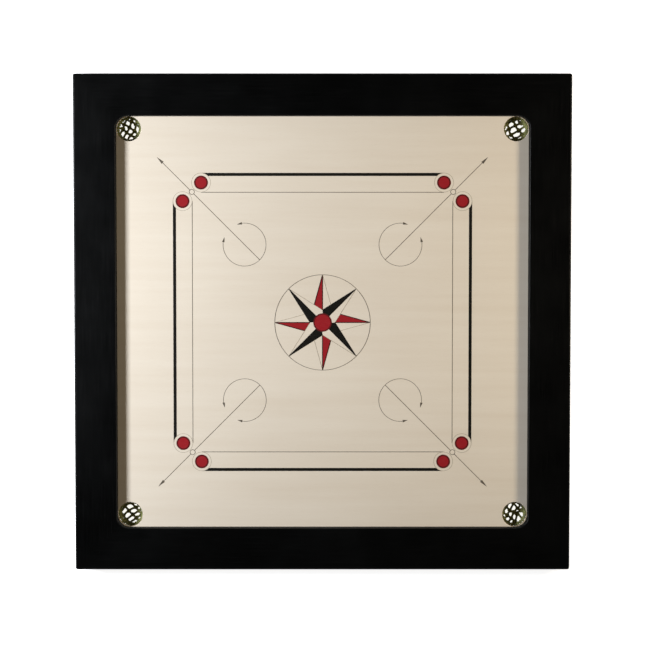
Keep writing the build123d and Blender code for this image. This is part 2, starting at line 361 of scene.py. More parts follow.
lacquer_along_x = black_lacquer("black_lacquer_along_x", (14.0, 420.0, 420.0))
lacquer_along_y = black_lacquer("black_lacquer_along_y", (420.0, 14.0, 420.0))


def finish_node(name, material):
    """Gives a ready-made piece its finish, in every material slot that it has."""
    mesh = nodes[name].data
    mesh.materials.clear()
    mesh.materials.append(material)


SIDES = (("south", "x"), ("north", "x"), ("east", "y"), ("west", "y"))
for side, axis in SIDES:
    finish_node(f"rail_{side}", lacquer_along_x if axis == "x" else lacquer_along_y)
for corner in CORNERS:
    finish_node(f"corner_block_{corner}", lacquer_along_x)
print("lacquer recipe of", len(lacquer_along_x.node_tree.nodes), "nodes")

# %% [markdown]
# ## The playing sheet
# The sheet is plywood with a pale face veneer, such as birch, under a satin lacquer. Its grain is
# quiet, a matter of a few per cent. Three noises make it: broad clouds, the long soft figure of
# peeled veneer, and hair-thin pores. The edge of a pocket shows the plies, which are bands that
# depend on height alone, and since the top band is the face veneer, the same recipe serves face
# and edge.

# %% Plywood
PLY_COUNT = 5


def plywood():
    """Pale face veneer, with darker cross plies and glue lines by height."""
    wood = Finish("pale_plywood")
    clouds = wood.noise(wood.stretched(2.2, 3.2, 3.0), 1.6, detail=2.0)
    figure = wood.noise(wood.stretched(3.0, 46.0, 46.0), 1.0, detail=5.0, roughness=0.6)
    pores = wood.between(wood.noise(wood.stretched(60.0, 1500.0, 1500.0), 1.0, detail=2.0), 0.62, 0.74)
    face = wood.mixed(clouds, (0.735, 0.662, 0.545, 1), (0.790, 0.722, 0.600, 1))
    face = wood.mixed(wood.between(figure, 0.35, 0.70, 0.0, 0.30), face, (0.640, 0.545, 0.415, 1))
    face = wood.mixed(wood.calc("MULTIPLY", pores, 0.16), face, (0.42, 0.32, 0.21, 1))

    height = wood.add("ShaderNodeSeparateXYZ", Vector=wood.place).outputs["Z"]
    ply = (PLY_TOP - PLY_BOTTOM) * MM / PLY_COUNT
    step = wood.calc("DIVIDE", wood.calc("SUBTRACT", PLY_TOP * MM, height), ply)
    cross = wood.between(wood.calc("PINGPONG", step, 1.0), 0.42, 0.58)
    inside = wood.between(step, 0.80, 0.90)
    layers = wood.mixed(cross, (0.62, 0.49, 0.33, 1), (0.40, 0.27, 0.15, 1))
    layers = wood.mixed(wood.between(figure, 0.35, 0.70, 0.0, 0.45), layers, (0.46, 0.33, 0.19, 1))
    layers = wood.mixed(wood.calc("MULTIPLY", pores, 0.45), layers, (0.24, 0.15, 0.08, 1))
    colour = wood.mixed(inside, face, layers)

    rough = wood.between(clouds, 0.3, 0.7, 0.50, 0.60)
    relief = wood.calc("ADD", wood.calc("MULTIPLY", figure, 0.5), wood.calc("MULTIPLY", pores, -0.4))
    wood.relief(relief, 0.05, 0.5)
    wood.set(Base_Color=colour, Roughness=rough, Specular_IOR_Level=0.25)
    return wood.material


finish_node("playing_surface", plywood())
print("plies", round((PLY_TOP - PLY_BOTTOM) / PLY_COUNT, 2), "mm thick")

# %% [markdown]
# ## The wood underneath
# The battens and the ledgers are planed and left bare. Straight-grained wood is rings of light
# and dark seen along their length, so a noise stretched along the piece gives the growth lines,
# and one nine times finer gives the fibres. The hidden splines are offcuts.

# %% Bare wood
def bare_wood(name, along, light, dark):
    """Growth lines and fibres along one axis. along is (x, y, z) noise scales, small on that axis."""
    wood = Finish(name)
    place = wood.stretched(*along)
    lines = wood.noise(place, 1.0, detail=4.0, roughness=0.65)
    fibres = wood.noise(wood.stretched(*(9.0 * v for v in along)), 1.0, detail=3.0)
    blotch = wood.noise(wood.place, 14.0, detail=2.0)
    colour = wood.mixed(wood.between(lines, 0.36, 0.66), light, dark)
    darkest = (*(0.6 * v for v in dark[:3]), 1)
    colour = wood.mixed(wood.between(fibres, 0.45, 0.75, 0.0, 0.35), colour, darkest)
    colour = wood.mixed(wood.between(blotch, 0.3, 0.7, 0.0, 0.20), colour, light)
    wood.relief(wood.calc("ADD", lines, fibres), 0.12, 0.6)
    rough = wood.between(fibres, 0.3, 0.7, 0.58, 0.76)
    wood.set(Base_Color=colour, Roughness=rough, Specular_IOR_Level=0.35)
    return wood.material


BATTEN_LIGHT, BATTEN_DARK = (0.50, 0.33, 0.18, 1), (0.29, 0.16, 0.075, 1)
bare_along_x = bare_wood("bare_wood_along_x", (5.0, 90.0, 90.0), BATTEN_LIGHT, BATTEN_DARK)
bare_along_y = bare_wood("bare_wood_along_y", (90.0, 5.0, 90.0), BATTEN_LIGHT, BATTEN_DARK)
offcut = bare_wood("spline_wood", (60.0, 60.0, 160.0), (0.62, 0.47, 0.30, 1), (0.42, 0.28, 0.15, 1))

finish_node("batten_east_west", bare_along_x)
finish_node("batten_north_south", bare_along_y)
for side, axis in SIDES:
    for hand in ("right", "left"):
        finish_node(f"ledger_{side}_{hand}", bare_along_x if axis == "x" else bare_along_y)
for corner in CORNERS:
    finish_node(f"mitre_spline_{corner}", offcut)
print("bare wood on 2 battens,", 2 * len(SIDES), "ledgers and", len(CORNERS), "splines")

# %% [markdown]
# ## Metal
# The screws are zinc plated, faintly yellow and blotchy. The rings and staples are bright drawn
# wire, which carries fine scratches. Both are metals, so their colour is their mirror's tint, and
# what makes them look used is how rough that mirror is from place to place.

# %% Zinc and wire
def metal(name, tint, dull_tint, rough_low, rough_high, scratch):
    """A metal whose tint and gloss drift between two values, with fine scratches."""
    plate = Finish(name)
    blotch = plate.noise(plate.place, 160.0, detail=4.0, roughness=0.6)
    lines = plate.noise(plate.stretched(*scratch), 1.0, detail=3.0)
    plate.relief(lines, 0.02, 0.5)
    plate.set(
        Base_Color=plate.mixed(blotch, tint, dull_tint),
        Metallic=1.0,
        Roughness=plate.between(blotch, 0.3, 0.7, rough_low, rough_high),
    )
    return plate.material


ZINC_TINTS = (0.66, 0.62, 0.50, 1), (0.44, 0.42, 0.38, 1)
WIRE_TINTS = (0.62, 0.62, 0.63, 1), (0.40, 0.40, 0.41, 1)
zinc = metal("zinc_plate", *ZINC_TINTS, 0.28, 0.46, (900.0, 900.0, 900.0))
wire = metal("drawn_wire", *WIRE_TINTS, 0.22, 0.40, (1800.0, 1800.0, 500.0))
for name in ("batten_screws", "batten_end_screws", "ledger_screws"):
    finish_node(name, zinc)
for corner in CORNERS:
    finish_node(f"net_ring_{corner}", wire)
    finish_node(f"net_staples_{corner}", wire)
print("metal finishes", zinc.name, "and", wire.name)

# %% [markdown]
# ## Printing inks
# The lines are screen printed under the lacquer. Ink goes on a tenth of a millimetre thick, and it
# isn't quite even: it thins where the screen lifted, and the wood shows through the thin places.
# So each ink mixes its full colour with a paler one by a fine noise.

# %% Inks
def ink(name, full, thin, share):
    """An ink whose colour thins towards another in places, by up to the given share."""
    paint = Finish(name)
    grain = paint.noise(paint.stretched(120.0, 700.0, 700.0), 1.0, detail=3.0)
    patches = paint.noise(paint.place, 75.0, detail=3.0)
    where = paint.between(patches, 0.3, 0.7, 0.3, 1.0)
    amount = paint.calc("MULTIPLY", paint.between(grain, 0.45, 0.75), where)
    colour = paint.mixed(paint.calc("MULTIPLY", amount, share), full, thin)
    paint.relief(grain, 0.02, 0.4)
    rough = paint.between(patches, 0.3, 0.7, 0.52, 0.62)
    paint.set(Base_Color=colour, Roughness=rough, Specular_IOR_Level=0.12)
    return paint.material


black_ink = ink("black_ink", (0.0035, 0.0035, 0.0022, 1), (0.045, 0.038, 0.028, 1), 0.30)
line_ink = ink("line_ink", (0.095, 0.080, 0.060, 1), (0.30, 0.25, 0.19, 1), 0.45)
faint_ink = ink("faint_line_ink", (0.30, 0.26, 0.19, 1), (0.50, 0.44, 0.33, 1), 0.5)
red_ink = ink("red_ink", (0.305, 0.0100, 0.0150, 1), (0.39, 0.047, 0.048, 1), 0.35)
dark_red_ink = ink("dark_red_ink", (0.105, 0.006, 0.007, 1), (0.19, 0.024, 0.024, 1), 0.40)
dark_edge_ink = ink("dark_edge_ink", (0.045, 0.006, 0.006, 1), (0.16, 0.030, 0.028, 1), 0.50)
print("inks", [material.name for material in bpy.data.materials if material.name.endswith("_ink")])

# %% [markdown]
# ## Flat shapes for the printing
# Painting the lines in the sheet's material would make them only as sharp as a baked picture, so
# each is a real film of ink instead: a flat shape a tenth of a millimetre thick. Every shape is a
# sheet of points from a formula. A ring is a band between two radii. A disc is a square pressed
# into a circle, which leaves no pinched point in the middle. Anything with straight sides is
# ruled: straight lines drawn from one edge to another.

# %% Sheets
def ring_sheet(centre, inner, outer, start=0.0, sweep=TURN, steps=96):
    """centre + r (cos a, sin a), for a along the sweep and r from the inner to the outer radius."""
    a = start + sweep * np.linspace(0, 1, steps + 1)
    r = np.array([inner, outer])
    return np.stack([centre[0] + np.outer(np.cos(a), r), centre[1] + np.outer(np.sin(a), r)], axis=-1)


def disc_sheet(centre, radius, steps=16):
    """The square (u, v) pressed into a disc: x = u sqrt(1 - v^2 / 2) and y = v sqrt(1 - u^2 / 2)."""
    u, v = np.meshgrid(*2 * [np.linspace(-1, 1, steps + 1)], indexing="ij")
    x = centre[0] + radius * u * np.sqrt(1 - v * v / 2)
    y = centre[1] + radius * v * np.sqrt(1 - u * u / 2)
    return np.stack([x, y], axis=-1)


def ruled_sheet(edge_a, edge_b):
    """Straight lines from each point of one edge to the same point of the other."""
    return np.stack([np.asarray(edge_a, float), np.asarray(edge_b, float)], axis=1)


def line_sheet(a, b, width):
    """A straight line of that width from a to b."""
    a, b = np.asarray(a, float), np.asarray(b, float)
    along = (b - a) / np.linalg.norm(b - a)
    across = np.array([-along[1], along[0]]) * width / 2
    return ruled_sheet([a - across, b - across], [a + across, b + across])


def triangle_sheet(tip, left, right):
    """Lines ruled from side to side of a triangle, which shrink to nothing at its tip."""
    return ruled_sheet([tip, left], [tip, right])


def turned_sheets(sheets):
    """Every sheet four times, at quarter turns round the board's centre."""
    made = []
    for k in range(4):
        c, s = round(math.cos(k * TURN / 4)), round(math.sin(k * TURN / 4))
        for sheet in sheets:
            x, y = sheet[..., 0], sheet[..., 1]
            made.append(np.stack([c * x - s * y, s * x + c * y], axis=-1))
    return made


print("a disc sheet is", disc_sheet((0, 0), 1.0).shape[0] - 1, "squares wide")

# %% [markdown]
# Here the sheets become ink. They are laid at the height of their layer, welded where they meet,
# and given their thickness downwards by a Solidify modifier, a little way into the sheet so that
# no gap can show. Where two inks overlap, the later one is a layer higher.

# %% Ink films
FILM = 0.12
LAYER = 0.035
SINK = 0.03


def wound_up(sheet):
    """The sheet with its columns reversed if the middle face of its grid would look down."""
    r, c = (sheet.shape[0] - 2) // 2, (sheet.shape[1] - 2) // 2
    a, b = sheet[r + 1, c + 1] - sheet[r, c], sheet[r + 1, c] - sheet[r, c + 1]
    return sheet if a[0] * b[1] - a[1] * b[0] > 0 else sheet[:, ::-1]


def weld(mesh, gap=1e-6):
    """Joins points that lie on each other, so that seams and tips close."""
    work = bmesh.new()
    work.from_mesh(mesh)
    bmesh.ops.remove_doubles(work, verts=work.verts, dist=gap)
    work.to_mesh(mesh)
    work.free()


def printed(name, sheets, material, layer=0):
    """One film of ink made from all those sheets."""
    points, faces, count = [], [], 0
    for sheet in sheets:
        sheet = wound_up(sheet)
        rows, columns = sheet.shape[:2]
        points.append(sheet.reshape(-1, 2))
        faces.append(grid_faces(rows, columns, count))
        count += rows * columns
    flat = np.concatenate(points)
    height = np.full((len(flat), 1), PLY_TOP - SINK + FILM + LAYER * layer)
    piece = new_piece(name, np.hstack([flat, height]), np.concatenate(faces), material)
    weld(piece.data)
    film = piece.modifiers.new("film", "SOLIDIFY")
    film.thickness = (FILM + LAYER * layer) * MM
    film.offset = -1


print("the first ink stands", round(FILM - SINK, 2), "mm above the sheet, the next", LAYER, "mm more")

# %% [markdown]
# ## The base lines and base circles
# Along each side run two lines, and a red base circle closes them at each end. The outer line is
# thick and the inner one thin. Both touch the circle's outline from outside, so their ends are
# hollowed to its curve: where a line is at height y above the circle's centre, it stops at
# sqrt(R^2 - y^2) from the centre. The red discs have a darker rim, printed over them.

# %% Print the base lines
BASE_ALONG = 218.2
BASE_OUT = 251.5
BASE_RING = 17.4
BASE_DISC = 12.5
BASE_RIM = 3.0
THICK_LINE = 5.6
THIN_LINE = 1.1
OUTLINE = 0.55


def hollow_ended_line(low, high, steps=10):
    """A line along the south side between two heights, stopped at the base circles' outlines."""
    y = np.linspace(low, high, steps + 1)
    stop = BASE_ALONG - np.sqrt(np.maximum(BASE_RING**2 - (y + BASE_OUT) ** 2, 0))
    return ruled_sheet(np.stack([-stop, y], axis=-1), np.stack([stop, y], axis=-1))


outer_edge = -(BASE_OUT + BASE_RING)
inner_edge = -(BASE_OUT - BASE_RING) - THIN_LINE / 2
thick_line = hollow_ended_line(outer_edge, outer_edge + THICK_LINE)
thin_line = hollow_ended_line(inner_edge, inner_edge + THIN_LINE)
printed("print_base_line_thick", turned_sheets([thick_line]), black_ink)
printed("print_base_line_thin", turned_sheets([thin_line]), line_ink)

base_centres = [(-BASE_ALONG, -BASE_OUT), (BASE_ALONG, -BASE_OUT)]
printed("print_base_discs", turned_sheets([disc_sheet(c, BASE_DISC) for c in base_centres]), red_ink)
rims = [ring_sheet(c, BASE_DISC - BASE_RIM, BASE_DISC, steps=64) for c in base_centres]
printed("print_base_disc_rims", turned_sheets(rims), dark_red_ink, layer=1)
outlines = [ring_sheet(c, BASE_RING - OUTLINE, BASE_RING, steps=64) for c in base_centres]
printed("print_base_outlines", turned_sheets(outlines), faint_ink)
print("base lines", round(2 * (BASE_ALONG + BASE_RING)), "mm over the circles")

# %% [markdown]
# ## The corner arrows
# A thin arrow runs along each diagonal from the middle of the sheet towards a pocket. On its way
# it meets a small ring between the two base circles, which stays empty. Near its tail an arc
# bends round it, with an arrowhead at each end. All of it is drawn once for the north-east
# corner along a straight axis and then turned on to the diagonal.

# %% Print the arrows
ARROW_TAIL, ARROW_TIP = 159.7, 420.6
ARROW_WIDTH = 1.05
HEAD_LENGTH, HEAD_WIDTH = 15.0, 5.2
SMALL_RING_AT, SMALL_RING, RING_LINE = 332.0, 5.1, 1.0
ARC_AT, ARC_RADIUS, ARC_LINE = 198.3, 38.6, 0.8
ARC_GAP = math.radians(24)
ARC_HEAD_LENGTH, ARC_HEAD_WIDTH = 9.5, 4.6
ARC_START = ARC_GAP + ARC_HEAD_LENGTH / ARC_RADIUS


def on_diagonal(sheet):
    """Turns what is drawn along +X on to the north-east diagonal."""
    c = math.sqrt(0.5)
    x, y = sheet[..., 0], sheet[..., 1]
    return np.stack([c * (x - y), c * (x + y)], axis=-1)


def arc_head(side):
    """A head at one end of the arc, which points along the arc into its gap."""
    tip = (ARC_AT + ARC_RADIUS * math.cos(ARC_GAP), side * ARC_RADIUS * math.sin(ARC_GAP))
    reach = ARC_RADIUS + np.array([-ARC_HEAD_WIDTH / 2, ARC_HEAD_WIDTH / 2])
    x = ARC_AT + reach * math.cos(ARC_START)
    y = side * reach * math.sin(ARC_START)
    return triangle_sheet(tip, (x[0], y[0]), (x[1], y[1]))


back = ARROW_TIP - HEAD_LENGTH
arrow_head = triangle_sheet((ARROW_TIP, 0), (back, HEAD_WIDTH / 2), (back, -HEAD_WIDTH / 2))
stretches = ((ARROW_TAIL, SMALL_RING_AT - SMALL_RING), (SMALL_RING_AT + SMALL_RING, back))
shafts = [line_sheet((a, 0), (b, 0), ARROW_WIDTH) for a, b in stretches]
inner, outer = ARC_RADIUS - ARC_LINE / 2, ARC_RADIUS + ARC_LINE / 2
arc = ring_sheet((ARC_AT, 0), inner, outer, ARC_START, TURN - 2 * ARC_START, steps=80)
small_ring = ring_sheet((SMALL_RING_AT, 0), SMALL_RING - RING_LINE, SMALL_RING, steps=40)

printed("print_arrow_shafts", turned_sheets([on_diagonal(s) for s in shafts]), line_ink)
printed("print_arrow_heads", turned_sheets([on_diagonal(arrow_head)]), line_ink)
printed("print_arcs", turned_sheets([on_diagonal(arc)]), line_ink, layer=1)
printed("print_arc_heads", turned_sheets([on_diagonal(arc_head(side)) for side in (1, -1)]), line_ink)
printed("print_small_rings", turned_sheets([on_diagonal(small_ring)]), line_ink)
print("arrows", round(ARROW_TIP - ARROW_TAIL), "mm long, arcs", round(2 * ARC_RADIUS), "mm across")

# %% [markdown]
# ## The centre star
# The star is two four-pointed stars laid over each other, red on the axes and black on the
# diagonals, inside a circle. Each point is a kite split down its middle, and only the half on the
# counter-clockwise side is inked; the other half is an outline. The black star lies over the red
# one, so a red half stops where the kite beside it starts. That corner is where two lines cross:
# the red kite's edge and the bare edge of the kite next to it. The black halves stop just short
# of the middle, under the centre disc, so that they stay four separate shapes.

# %% Work out the star's halves
STAR_RADIUS = 86.0
BLACK_SHOULDER = 22.5
RED_SHOULDER = 26.3
HUB = 2.0


def polar(radius, degrees):
    """The point at that distance and heading from the middle."""
    a = math.radians(degrees)
    return np.array([radius * math.cos(a), radius * math.sin(a)])


def crossing(a, b, c, d):
    """Where the line through a and b meets the line through c and d."""
    steps = np.linalg.solve(np.column_stack([b - a, c - d]), c - a)
    return a + steps[0] * (b - a)


north_tip, north_shoulder = polar(STAR_RADIUS, 90), polar(RED_SHOULDER, 135)
black_tip, axis_shoulder = polar(STAR_RADIUS, 135), polar(BLACK_SHOULDER, 90)
red_corner = crossing(north_tip, north_shoulder, black_tip, axis_shoulder)
red_half = triangle_sheet(north_tip, red_corner, axis_shoulder)
hub_side = polar(HUB, 45)
black_half = triangle_sheet(polar(STAR_RADIUS, 45), axis_shoulder, hub_side)
print("red corner at", np.round(red_corner, 1))

# %% [markdown]
# The inked halves have an edging line, dark brown on the red ones, which is what keeps their long
# tips from fading out. The bare halves are only outlines. The circle goes round the tips, and the
# red disc in the middle, with its darker rim, is the last ink on.

# %% Print the star
RED_EDGE = 1.7
BLACK_EDGE = 1.2
STAR_CIRCLE_LINE = 0.8
CENTRE_DISC = 16.6
CENTRE_RIM = 2.4

printed("print_red_points", turned_sheets([red_half]), red_ink)
printed("print_black_points", turned_sheets([black_half]), black_ink, layer=1)
red_edges = [line_sheet(north_tip, end, RED_EDGE) for end in (axis_shoulder, red_corner)]
printed("print_red_point_edges", turned_sheets(red_edges), dark_edge_ink, layer=2)
black_edges = [line_sheet(polar(STAR_RADIUS, 45), end, BLACK_EDGE) for end in (axis_shoulder, hub_side)]
printed("print_black_point_edges", turned_sheets(black_edges), black_ink, layer=3)

mirror = np.array([-1, 1])
bare_edges = [
    line_sheet(north_tip, red_corner * mirror, OUTLINE),
    line_sheet(black_tip, axis_shoulder, OUTLINE),
]
printed("print_star_outlines", turned_sheets(bare_edges), faint_ink, layer=4)
inner, outer = STAR_RADIUS - STAR_CIRCLE_LINE / 2, STAR_RADIUS + STAR_CIRCLE_LINE / 2
star_circle = ring_sheet((0, 0), inner, outer, steps=160)
printed("print_star_circle", [star_circle], line_ink, layer=5)
printed("print_centre_disc", [disc_sheet((0, 0), CENTRE_DISC, steps=24)], red_ink, layer=6)
centre_rim = ring_sheet((0, 0), CENTRE_DISC - CENTRE_RIM, CENTRE_DISC)
printed("print_centre_disc_rim", [centre_rim], dark_red_ink, layer=7)

# %% [markdown]
# ## The nets
# Each pocket has a little bag of knotted cord. A real one is a flat piece of square netting,
# drawn up round a ring, so that is how it is made here. Straight cords are laid out on a flat
# disc, the disc is bent into a bowl, and each cord ends at a thicker rope that gathers the mouth.
#
# The bowl is part of a sphere. A point at distance s from the disc's centre goes to the angle
# s / R from the sphere's lowest point, so lengths along the cords are kept, and the mouth is
# narrower than the flat disc, which bunches the net as the ring does. Before that, a smooth
# random drift moves every point of the disc a little. Both directions of cord share the drift,
# so they still meet where they cross, and the cells come out as uneven as hand-tied ones.

# %% The bowl's shape
CORD_RADIUS = 2.0
WIRE_RADIUS = 1.0
# How far the lowest cord's middle lies above the bottom of the packed net.
NET_SINK = 2.7
# How far a drift wave moves a point, how long it is, and the calm band beside the rope.
DRIFT = 1.5
DRIFT_LENGTH = 34.0
CALM_EDGE = 5.0
ROPE_RADIUS = 2.2
ROPE_CIRCLE = 20.6


def ring_facts(corner):
    """The centre of a pocket's ring, its height and its radius, measured on the packed ring."""
    low, high = (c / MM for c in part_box(f"net_ring_{corner}"))
    middle = (low + high) / 2
    return np.array([middle.x, middle.y]), middle.z, (high.x - low.x) / 2 - WIRE_RADIUS


RING_HEIGHT, RING_RADIUS = ring_facts("se")[1:]
BOWL_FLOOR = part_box("pocket_net_se")[0].z / MM + NET_SINK
BOWL_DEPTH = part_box("pocket_net_se")[1].z / MM - BOWL_FLOOR
SPHERE = (RING_RADIUS**2 + BOWL_DEPTH**2) / (2 * BOWL_DEPTH)


def reach_of(radius):
    """How far along the bowl from its lowest point a circle of that radius lies."""
    return SPHERE * math.asin(radius / SPHERE)


ROPE_REACH = reach_of(ROPE_CIRCLE)


def drifted(flat, draws):
    """Each point moved by four slow waves in seeded directions, which die out at the rope."""
    phase, heading, towards = draws.T
    crests = flat @ np.stack([np.cos(heading), np.sin(heading)]) * TURN / DRIFT_LENGTH + phase
    shift = DRIFT * np.sin(crests) @ np.stack([np.cos(towards), np.sin(towards)], axis=-1)
    calm = np.clip((ROPE_REACH - np.linalg.norm(flat, axis=-1, keepdims=True)) / CALM_EDGE, 0, 1)
    return flat + calm * shift


def bowl(flat):
    """Points of the flat disc bent on to the sphere: s becomes the angle s / R from the bottom."""
    reach = np.maximum(np.linalg.norm(flat, axis=-1, keepdims=True), 1e-6)
    angle = reach / SPHERE
    height = BOWL_FLOOR + SPHERE * (1 - np.cos(angle))
    return np.concatenate([flat * SPHERE * np.sin(angle) / reach, height], axis=-1)


print("flat net", round(2 * ROPE_REACH), "mm across, drawn up to", round(2 * ROPE_CIRCLE), "mm")

# %% [markdown]
# The net has three kinds of cord. Two families of straight ones cross each other and end at the
# head rope. The head rope is a thicker cord that runs round the mouth and gathers the net, which
# is why the pocket's edge looks dark all round from above.

# %% Straight cords and head rope
POINT_GAP = 1.1
WANDER_WAVES = (2, 3, 5)
WANDER = np.array([0.35, 0.25, 0.15])


def heading_axes(heading):
    """The direction of a family of cords, and the direction across them."""
    c, s = math.cos(heading), math.sin(heading)
    return np.array([c, s]), np.array([-s, c])


def cord_line(offset, heading, draws):
    """t along its heading plus its offset across it, from rope to rope, drifted and bent."""
    along, across = heading_axes(heading)
    half = math.sqrt(ROPE_REACH**2 - offset**2)
    t = np.linspace(-half, half, max(int(2 * half / POINT_GAP), 12))
    return bowl(drifted(t[:, None] * along + offset * across, draws))


def rope_line(draws, steps=150):
    """(cos a, sin a) times a reach that wanders on three slow waves, bent into the bowl."""
    a = np.linspace(0, TURN, steps + 1)
    reach = ROPE_REACH + np.sin(np.outer(a, WANDER_WAVES) + draws[:3, 0]) @ WANDER
    return bowl(reach[:, None] * np.stack([np.cos(a), np.sin(a)], axis=-1))


rope_height = bowl(np.array([[ROPE_REACH, 0]]))[0, 2]
print("the ring is", round(RING_HEIGHT - rope_height, 1), "mm above the rope's middle")

# %% [markdown]
# The third kind is the lacing. Two of them wind round the head rope and the wire ring together,
# one each way about the pocket, so that they cross like netting. They are kept clear of the
# sheet's underside, as the ring is.

# %% Lacings
LOBE = 0.13
LACING_TURNS = 24
LACING_CORD = 1.05
# A turn's slack, its width against the wire and its own cord, what the waist leaves of that
# width, and how blunt its ends are.
LACING_LOOSE = 0.2
LACING_WIDTH = 1.75
LACING_WAIST = 0.35
LACING_BLUNTNESS = 0.75


def unit(vectors):
    """Each vector at length one."""
    return vectors / np.linalg.norm(vectors, axis=-1, keepdims=True)


def lacing_line(hand, steps_each=20):
    """A coil round ring and rope, carried round the pocket one way or the other.

    Each turn is a loop (cos t along the way from rope to ring, sin t across it). The loop is
    pinched at its waist, where |cos t| is 0, so that its two sides run close together.
    """
    t = np.linspace(0, LACING_TURNS * TURN, LACING_TURNS * steps_each + 1)
    ring = np.array([RING_RADIUS, RING_HEIGHT])
    rope = np.array([ROPE_CIRCLE, rope_height])
    along = unit(ring - rope)
    half_long = np.linalg.norm(ring - rope) / 2 + ROPE_RADIUS + LACING_LOOSE
    half_wide = LACING_WIDTH * (WIRE_RADIUS + LACING_CORD)
    lengthways = half_long * np.sign(np.cos(t)) * np.abs(np.cos(t)) ** LACING_BLUNTNESS
    sideways = half_wide * np.sin(t) * (LACING_WAIST + (1 - LACING_WAIST) * np.abs(np.cos(t)))
    middle, across = (ring + rope) / 2, np.array([-along[1], along[0]])
    out, height = (middle[i] + lengthways * along[i] + sideways * across[i] for i in (0, 1))
    around = hand * t / LACING_TURNS
    top = PLY_BOTTOM - LACING_CORD * (1 + LOBE)
    return np.stack([out * np.cos(around), out * np.sin(around), np.minimum(height, top)], axis=-1)


print("each lacing goes round", LACING_TURNS, "times and has", len(lacing_line(1)), "points")

# %% [markdown]
# The cord itself is three strands twisted together, so its section is a circle with three
# lobes, and the lobes turn steadily along the line. The section is carried on axes that turn as
# little as they can.

# %% From a line to a twisted cord
CORD_SIDES = 10
TWIST_PITCH = 8.0


def dot(a, b):
    """The scalar product of each pair of vectors."""
    return (a * b).sum(axis=-1, keepdims=True)


def carried_axes(line):
    """Two axes across the line at each point that don't spin round it.

    Any axes will do to start with. Each pair is compared with the pair before it, the angles that
    they slipped by are added up, and every pair is turned back by its sum.
    """
    tangent = unit(np.gradient(line, axis=0))
    n = unit(np.cross(tangent, np.eye(3)[np.argmin(np.abs(tangent), axis=1)]))
    b = np.cross(tangent, n)
    carried = n[:-1] - tangent[1:] * dot(n[:-1], tangent[1:])
    slips = np.arctan2(dot(carried, b[1:]), dot(carried, n[1:]))
    slip = np.concatenate([[[0.0]], np.cumsum(slips, axis=0)])
    normal = np.cos(slip) * n + np.sin(slip) * b
    return normal, np.cross(tangent, normal)


def twisted_tube(line, radius):
    """line + r (cos a N + sin a B), where r = radius (1 + LOBE cos 3(a - twist)), with closed ends."""
    n, b = carried_axes(line)
    length = np.concatenate([[0], np.cumsum(np.linalg.norm(np.diff(line, axis=0), axis=1))])
    angle = np.linspace(0, TURN, CORD_SIDES, endpoint=False)
    twist = TURN * length / TWIST_PITCH
    size = radius * (1 + LOBE * np.cos(3 * (angle[None, :] - twist[:, None])))
    size[[0, -1]] = 0
    across = np.cos(angle)[None, :, None] * n[:, None] + np.sin(angle)[None, :, None] * b[:, None]
    uv = np.stack(np.broadcast_arrays(angle[None, :] / TURN, length[:, None] / TWIST_PITCH), axis=-1)
    return line[:, None] + size[..., None] * across, uv


print("a cord", 2 * CORD_RADIUS, "mm thick turns once in", TWIST_PITCH, "mm")

# %% [markdown]
# Where two cords cross, they are knotted. The knot is a small trefoil, which is the shape of a
# real overhand knot pulled tight, laid in the bowl's surface.

# %% Knots
KNOT_SIZE = 1.05
KNOT_CORD = 1.55


def knot_shape(steps=22, sides=6):
    """A round tube along (sin t + 2 sin 2t, cos t - 2 cos 2t, -0.8 sin 3t), closed on itself."""
    t = np.linspace(0, TURN, steps, endpoint=False)
    x, y = np.sin(t) + 2 * np.sin(2 * t), np.cos(t) - 2 * np.cos(2 * t)
    line = np.stack([x, y, -0.8 * np.sin(3 * t)], axis=-1)
    tangent = unit(np.roll(line, -1, axis=0) - np.roll(line, 1, axis=0))
    n = unit(np.cross(tangent, [0, 0, 1.0]))
    b = np.cross(tangent, n)
    angle = np.linspace(0, TURN, sides, endpoint=False)
    across = np.cos(angle)[None, :, None] * n[:, None] + np.sin(angle)[None, :, None] * b[:, None]
    tube = KNOT_SIZE * line[:, None] + KNOT_CORD * across
    return np.concatenate([tube, tube[:1]])


def knots_at(place, turns, sizes):
    """A knot at each place in the bowl, tilted with the bowl, turned and scaled by its own draw."""
    up = unit(np.array([0, 0, BOWL_FLOOR + SPHERE]) - place)
    side = unit(np.cross(up, [0, 1.0, 0]))
    front = np.cross(up, side)
    c, s = np.cos(turns)[:, None], np.sin(turns)[:, None]
    axes = np.stack([c * side + s * front, c * front - s * side, up], axis=1) * sizes[:, None, None]
    return place[:, None, None] + np.einsum("rsk,nkj->nrsj", knot_shape(), axes)


print("a knot is", np.round(np.ptp(knot_shape().reshape(-1, 3), axis=0), 1), "mm")

# %% [markdown]
# The cord is dark green twine with a little sheen. Its own coordinates, once round and once
# along for each twist, carry fine slanting fibres, and a slow noise fades it here and there.

